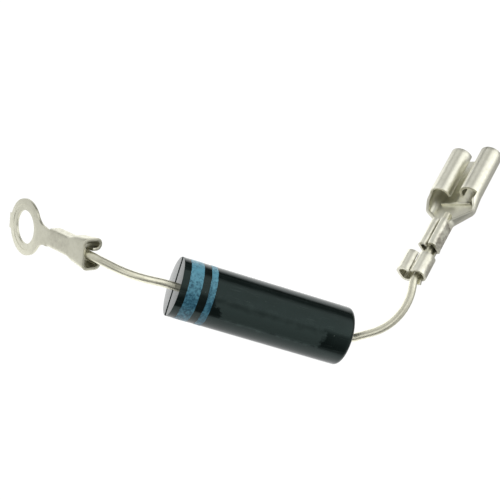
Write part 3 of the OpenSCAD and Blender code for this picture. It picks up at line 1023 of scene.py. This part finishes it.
# %% The epoxy itself
SPECK_SCALE = 3000
SPECK_LIMITS = (0.73, 0.80)
CLOUD_SCALE = 700
CLOUD_LIMITS = (0.35, 0.7)
WAVE_SCALE = 900
SCRATCH_STRETCH = (500, 5200, 5200)
SCRATCH_LIMITS = (0.60, 0.72)
PAINTED_SHEEN_SHARE = 0.9
SCRATCH_SHARE = 0.3
EPOXY_ROUGH = (0.10, 0.16)
EPOXY_IOR = 1.39
EPOXY_RELIEF = 0.000006
DEEP_BLACK = (0.0015, 0.0035, 0.003, 1)
PALER_BLACK = (0.003, 0.006, 0.0055, 1)
PAINTED_SHEEN = (0.028, 0.040, 0.0375, 1)
SCRATCH = (0.028, 0.036, 0.034, 1)
FILLER = (0.07, 0.085, 0.08, 1)
COOL_GLOSS = (0.74, 1.0, 0.96, 1)

speck_noise = noise_node(tree, place, SPECK_SCALE, detail=2, roughness=0.6)
specks = ramp(tree, speck_noise, *SPECK_LIMITS)
cloud = ramp(tree, noise_node(tree, place, CLOUD_SCALE, detail=4), *CLOUD_LIMITS)
hairs = noise_node(tree, stretched(tree, inside, SCRATCH_STRETCH), scale=1, detail=2)
scratches = ramp(tree, hairs, *SCRATCH_LIMITS)
ground = blend(tree, cloud, DEEP_BLACK, PALER_BLACK)
# painted sheen: the paler front stands in for a soft reflection
sheen_painted = blend(tree, product(tree, painted_sheen_mask, PAINTED_SHEEN_SHARE), ground, PAINTED_SHEEN)
scratched = blend(tree, product(tree, scratches, SCRATCH_SHARE), sheen_painted, SCRATCH)
waves = noise_node(tree, place, WAVE_SCALE)
feed(tree, shader, {"Base Color": blend(tree, specks, scratched, FILLER),
                    "Roughness": ramp(tree, cloud, 0, 1, *EPOXY_ROUGH),
                    "IOR": EPOXY_IOR, "Specular Tint": COOL_GLOSS,
                    "Normal": bump(tree, waves, EPOXY_RELIEF)})
dress(moulded_body, epoxy)
print("epoxy:", len(tree.nodes), "nodes")

# %% [markdown]
# ## Blue ink
#
# The ink is steel blue and thin in places, so the black shows through in soft mottles. From
# the top of the body down its front the blue is painted darker, as painted shade. Bare places
# could be cut out of the sleeve, but thin ink is a matter of colour: one mask, the sum of two
# noises for thin ink and a ramp round the body for the painted shade, leads from the full blue
# to the blue with black under it.

# %% Ink
FULL_BLUE = (0.098, 0.270, 0.355, 1)
THIN_AND_SHADED_BLUE = (0.012, 0.060, 0.098, 1)
INK_MOTTLE_SCALE = 3000
INK_MOTTLE_LIMITS = (0.41, 0.62)
PATCH_SCALE = 900
PATCH_LIMITS = (0.35, 0.7)
MOTTLE_SHARE = 0.75
PATCH_SHARE = 0.3
SHADE_TURNED = (30, -32)
SHADE_ADDS = (-0.30, 0.36)
INK_ROUGH = (0.22, 0.4)
INK_IOR = 1.38
INK_RELIEF = 0.000008

ink, tree, shader, place = new_material("blue_ink")
mottle_noise = noise_node(tree, place, INK_MOTTLE_SCALE, detail=4, roughness=0.7)
fine_mottle = ramp(tree, mottle_noise, *INK_MOTTLE_LIMITS)
patches = ramp(tree, noise_node(tree, place, PATCH_SCALE), *PATCH_LIMITS)
angle = body_axes(tree, place)[2]
# painted shade: the blue is lighter on top and darker down the front
painted_shade_front = ramp(tree, angle, *in_radians(SHADE_TURNED), *SHADE_ADDS)
mottled = math_node(tree, "ADD", product(tree, fine_mottle, MOTTLE_SHARE),
                    product(tree, patches, PATCH_SHARE))
thin_ink_and_shade = math_node(tree, "ADD", mottled, painted_shade_front)
feed(tree, shader, {"Base Color": blend(tree, thin_ink_and_shade, FULL_BLUE, THIN_AND_SHADED_BLUE),
                    "Roughness": ramp(tree, fine_mottle, 0, 1, *INK_ROUGH),
                    "IOR": INK_IOR, "Specular Tint": COOL_GLOSS,
                    "Normal": bump(tree, fine_mottle, INK_RELIEF)})
dress(wide_band, ink)
dress(narrow_band, ink)
print("ink:", len(tree.nodes), "nodes")

# %% [markdown]
# ## What the body holds
#
# The dice, the solder between them and the soft coat are sealed in, but a part that is cut
# open later should not show blanks, so they get plain finishes with a little variation.

# %% Finishes for the sealed pieces
SEALED_LIMITS = (0.3, 0.7)
ROUGH_RANGE = 0.15

def sealed_material(name, light, dark, roughness, metallic, scale):
    material, tree, shader, place = new_material(name)
    cloud = noise_node(tree, place, scale)
    rough = ramp(tree, cloud, *SEALED_LIMITS, roughness, roughness + ROUGH_RANGE)
    feed(tree, shader, {"Base Color": blend(tree, cloud, light, dark), "Roughness": rough,
                        "Metallic": metallic})
    return material

sealed = {
    "silicon_dice": sealed_material("silicon", light=(0.10, 0.11, 0.14, 1), dark=(0.05, 0.055, 0.07, 1),
                                    roughness=0.15, metallic=0.0, scale=900),
    "solder_discs": sealed_material("solder", light=(0.55, 0.55, 0.54, 1), dark=(0.35, 0.35, 0.34, 1),
                                    roughness=0.4, metallic=1.0, scale=1800),
    "junction_coat": sealed_material("silicone_coat", light=(0.8, 0.78, 0.7, 1),
                                     dark=(0.66, 0.64, 0.56, 1),
                                     roughness=0.45, metallic=0.0, scale=600),
}
for node, material in sealed.items():
    dress(frame["nodes"][node], material)
print("sealed pieces dressed:", len(sealed))

# %% [markdown]
# ## The paper
#
# The part lies on white paper. Tin is a mirror that is only a little blurred, so what it
# shows is mostly the paper and the sky, and their brightness has to be right before its
# colour is. To the eye the paper is a shadowless white, as on a light table: its material
# tells rays from the camera from all others with a Light Path node. To the other rays it is
# paper that glows, that is also lit and shaded, that ends in a wide arc just behind the part,
# and that is dimmer at its two sides, as on a small table in a darker room. This gives the
# tin its dark edges and keeps the insides of the folds dark.

# %% The sheet of paper
FLOOR_HALF = 4

floor_mesh = bmesh.new()
bmesh.ops.create_grid(floor_mesh, x_segments=1, y_segments=1, size=FLOOR_HALF)
floor_data = bpy.data.meshes.new("floor")
floor_mesh.to_mesh(floor_data)
floor_mesh.free()
floor = bpy.data.objects.new("floor", floor_data)
bpy.context.scene.collection.objects.link(floor)
print("paper:", 2 * FLOOR_HALF, "m wide")

# %% Where the paper is bright
ARC_MIDDLE = (-0.005, 0.325, 0)
ARC_FADE = (0.282, 0.314)
LEFT_FADE = (-0.040, -0.024)
RIGHT_FADE = (0.017, 0.029)
LEFT_SHARE = 0.46
RIGHT_SHARE = 0.25

paper, tree, shader, place = new_material("white_paper")
from_arc = tree.nodes.new("ShaderNodeVectorMath")
from_arc.operation = "DISTANCE"
feed(tree, from_arc, {0: place, 1: ARC_MIDDLE})
sideways = split_axes(tree, place)[0]
to_left = ramp(tree, sideways, *LEFT_FADE, LEFT_SHARE, 1)
to_right = ramp(tree, sideways, *RIGHT_FADE, 1, RIGHT_SHARE)
this_side = ramp(tree, from_arc.outputs["Value"], *ARC_FADE)
bright = product(tree, this_side, product(tree, to_left, to_right))

# %% The paper's finish
SEEN_GLOW = 1.0
MIRRORED_GLOW = 0.75
SEEN_GREY = (0.06, 0.06, 0.06, 1)
TABLE_GREY = (0.05, 0.05, 0.05, 1)
PAPER_GREY = (0.6, 0.6, 0.6, 1)
WHITE = (1, 1, 1, 1)
PAPER_ROUGH = 0.9

seen = tree.nodes.new("ShaderNodeLightPath").outputs["Is Camera Ray"]
unseen = math_node(tree, "SUBTRACT", 1, seen)
glow = math_node(tree, "ADD", product(tree, unseen, product(tree, bright, MIRRORED_GLOW)),
                 product(tree, seen, SEEN_GLOW))
lit = blend(tree, bright, TABLE_GREY, PAPER_GREY)
feed(tree, shader, {"Base Color": blend(tree, seen, lit, SEEN_GREY),
                    "Roughness": PAPER_ROUGH, "Specular IOR Level": 0.0,
                    "Emission Color": WHITE, "Emission Strength": glow})
dress(floor, paper)
print("paper:", len(tree.nodes), "nodes")

# %% [markdown]
# ## The sky
#
# A studio hangs soft boxes round the part. They could be lamps or glowing planes, but their
# images in the tin would have hard edges. Here each box is a lobe in the world's background:
# the dot product of the ray's direction and the box's own aim tells how near the ray is to
# the box, and a smooth ramp turns that into brightness. The lobes are added up over a faint
# even sky.

# %% Soft boxes in the sky
SKY_GAIN = 1.06
SKY_BASE = 0.15
SKY_WHITE = (1, 1, 0.99, 1)
SOFT_BOXES = [
    # azimuth, elevation, dot product where it starts, where it is full, strength
    (34, 50, 0.695, 0.927, 1.0),
    (-95, 60, 0.848, 0.978, 0.8),
    (165, 10, 0.2, 0.9, 0.50),
    (-5, 8, 0.5, 1.0, 0.5),
    (115, 36, 0.8, 1.0, 0.16),
]

world = bpy.data.worlds.new("studio")
bpy.context.scene.world = world
world.use_nodes = True
tree = world.node_tree
sky = tree.nodes["Background"]
ray = tree.nodes.new("ShaderNodeTexCoord").outputs["Generated"]

def soft_box(azimuth, elevation, starts, full, strength):
    aim = tree.nodes.new("ShaderNodeVectorMath")
    aim.operation = "DOT_PRODUCT"
    a, e = in_radians((azimuth, elevation))
    facing = (math.cos(e) * math.cos(a), math.cos(e) * math.sin(a), math.sin(e))
    feed(tree, aim, {0: ray, 1: facing})
    lobe = ramp(tree, aim.outputs["Value"], starts, full, 0, strength)
    lobe.node.interpolation_type = "SMOOTHSTEP"
    return lobe

total = soft_box(*SOFT_BOXES[0])
for values in SOFT_BOXES[1:]:
    total = math_node(tree, "ADD", total, soft_box(*values))
brightness = math_node(tree, "ADD", product(tree, total, SKY_GAIN), SKY_BASE)
feed(tree, sky, {"Strength": brightness, "Color": SKY_WHITE})
print("soft boxes:", len(SOFT_BOXES))

# %% [markdown]
# ## Two lamps
#
# Epoxy and ink are dark, and the sky alone leaves them flat. Two wide area lamps light them
# from behind and from the right. Each is aimed at the origin by a quaternion that tracks it.
# The lamps are hidden from mirrors, because a lamp's square image would show in the tin.

# %% Lamps
def soft_lamp(name, at, power, size):
    data = bpy.data.lights.new(name, "AREA")
    data.energy = power
    data.size = size
    lamp = bpy.data.objects.new(name, data)
    lamp.location = at
    lamp.rotation_euler = (-Vector(at)).to_track_quat("-Z", "Y").to_euler()
    lamp.visible_glossy = False
    bpy.context.scene.collection.objects.link(lamp)

soft_lamp("key", at=(0.1, 0.5, 0.7), power=2.5, size=0.5)
soft_lamp("fill", at=(0.7, -0.2, 0.6), power=1.0, size=0.6)
print("lamps:", len(bpy.data.lights))

# %% [markdown]
# ## The camera
#
# The camera looks down on the part, about 70 degrees above the paper, from about 15 cm away
# and a little to the front. A near camera makes what is close to it look larger, so its
# distance matters as much as its angle. The Standard view keeps white paper white.

# %% Camera
CAMERA_AT = (6.781, -56.126, 144.588)
CAMERA_TURN = (20.424, -1.660, 10.973)
SENSOR = 36
LENS = 86.4

eye = bpy.data.cameras.new("camera")
eye.sensor_width = SENSOR
eye.lens = LENS
camera = bpy.data.objects.new("camera", eye)
camera.location = Vector(CAMERA_AT) * MM
camera.rotation_euler = in_radians(CAMERA_TURN)
bpy.context.scene.collection.objects.link(camera)
bpy.context.scene.camera = camera
bpy.context.scene.view_settings.view_transform = "Standard"
print("camera", round(camera.location.length / MM), "mm from the origin")
